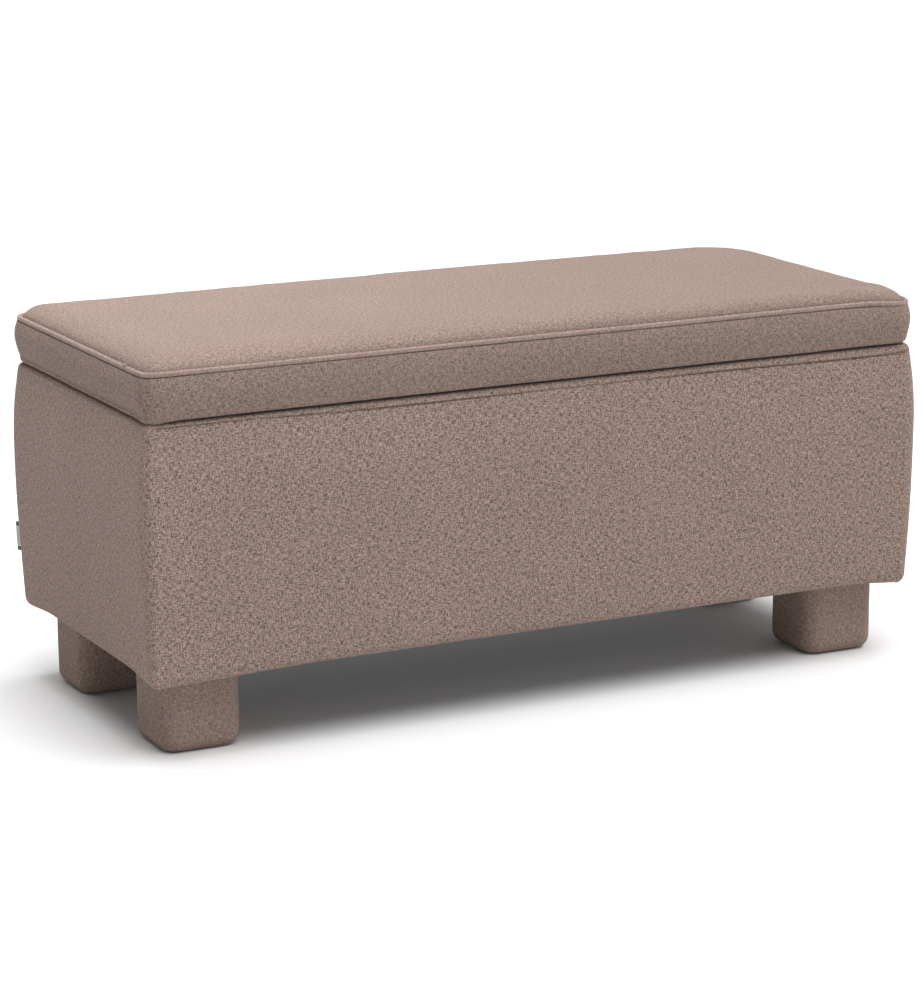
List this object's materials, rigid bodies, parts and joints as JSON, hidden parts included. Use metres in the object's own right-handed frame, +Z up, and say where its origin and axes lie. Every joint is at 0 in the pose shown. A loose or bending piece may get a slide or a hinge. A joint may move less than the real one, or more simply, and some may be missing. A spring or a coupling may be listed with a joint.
{
  "type": "storage bench",
  "caption": "Upholstered rectangular storage bench: a padded box on four covered square legs, closed by a hinged, crowned lid with piping.",
  "frame": {"origin": "centre of the bench's plan, on the floor", "axes": "+X along the bench's length, front facing -Y, +Z up"},
  "size_m": [1.0398, 0.4478, 0.4705],
  "materials": {
    "woven_upholstery": "matte",
    "piping_fabric": "matte",
    "lining_cloth": "matte",
    "label_cloth": "matte",
    "polyester_wadding": "matte",
    "foam": "matte",
    "pine_wood": "matte",
    "zinc_plated_steel": "satin",
    "rubber": "matte"
  },
  "bodies": {
    "carcass": {"bottom_board": "pine_wood", "front_panel": "pine_wood", "back_panel": "pine_wood", "left_end_panel": "pine_wood", "right_end_panel": "pine_wood", "corner_blocks": "pine_wood", "frame_screws": "zinc_plated_steel", "front_padding": "polyester_wadding", "back_padding": "polyester_wadding", "left_end_padding": "polyester_wadding", "right_end_padding": "polyester_wadding", "front_cover": "woven_upholstery", "back_cover": "woven_upholstery", "left_end_cover": "woven_upholstery", "right_end_cover": "woven_upholstery", "inner_lining": "lining_cloth", "dust_cover": "lining_cloth", "side_label": "label_cloth", "rim_bumpers": "rubber", "leg_block_front_left": "pine_wood", "leg_block_front_right": "pine_wood", "leg_block_back_left": "pine_wood", "leg_block_back_right": "pine_wood", "leg_wadding": "polyester_wadding", "leg_cover_front_left": "woven_upholstery", "leg_cover_front_right": "woven_upholstery", "leg_cover_back_left": "woven_upholstery", "leg_cover_back_right": "woven_upholstery", "leg_bolts": "zinc_plated_steel", "t_nuts": "zinc_plated_steel", "leg_glides": "rubber", "left_hinge_lower_leaf": "zinc_plated_steel", "middle_hinge_lower_leaf": "zinc_plated_steel", "right_hinge_lower_leaf": "zinc_plated_steel", "hinge_pins": "zinc_plated_steel", "lower_leaf_screws": "zinc_plated_steel", "left_stay_stud": "zinc_plated_steel", "right_stay_stud": "zinc_plated_steel", "stay_stud_screws": "zinc_plated_steel"},
    "lid": {"lid_board": "pine_wood", "lid_foam": "foam", "lid_wadding": "polyester_wadding", "lid_top_cover": "woven_upholstery", "front_boxing": "woven_upholstery", "back_boxing": "woven_upholstery", "left_end_boxing": "woven_upholstery", "right_end_boxing": "woven_upholstery", "piping_cover": "piping_fabric", "piping_cord": "polyester_wadding", "lid_lining": "lining_cloth", "left_hinge_upper_leaf": "zinc_plated_steel", "middle_hinge_upper_leaf": "zinc_plated_steel", "right_hinge_upper_leaf": "zinc_plated_steel", "upper_leaf_screws": "zinc_plated_steel", "left_stay_bracket": "zinc_plated_steel", "right_stay_bracket": "zinc_plated_steel", "stay_bracket_screws": "zinc_plated_steel"},
    "left_stay": {"left_stay_bar": "zinc_plated_steel"},
    "right_stay": {"right_stay_bar": "zinc_plated_steel"}
  },
  "joints": [
    {"name": "lid_hinge", "type": "hinge", "parent": "carcass", "child": "lid", "pos_m": [0, 0.217, 0.399], "axis": [-1, 0, 0], "range_deg": [0, 95]},
    {"name": "left_stay_swing", "type": "hinge", "parent": "lid", "child": "left_stay", "pos_m": [-0.4775, 0.0725, 0.387], "axis": [-1, 0, 0], "range_deg": [-48, 0]},
    {"name": "right_stay_swing", "type": "hinge", "parent": "lid", "child": "right_stay", "pos_m": [0.4775, 0.0725, 0.387], "axis": [-1, 0, 0], "range_deg": [-48, 0]}
  ],
  "couplings": [
    {"joint": "left_stay_swing", "follows": "lid_hinge", "ratio": -0.5},
    {"joint": "right_stay_swing", "follows": "lid_hinge", "ratio": -0.5}
  ]
}
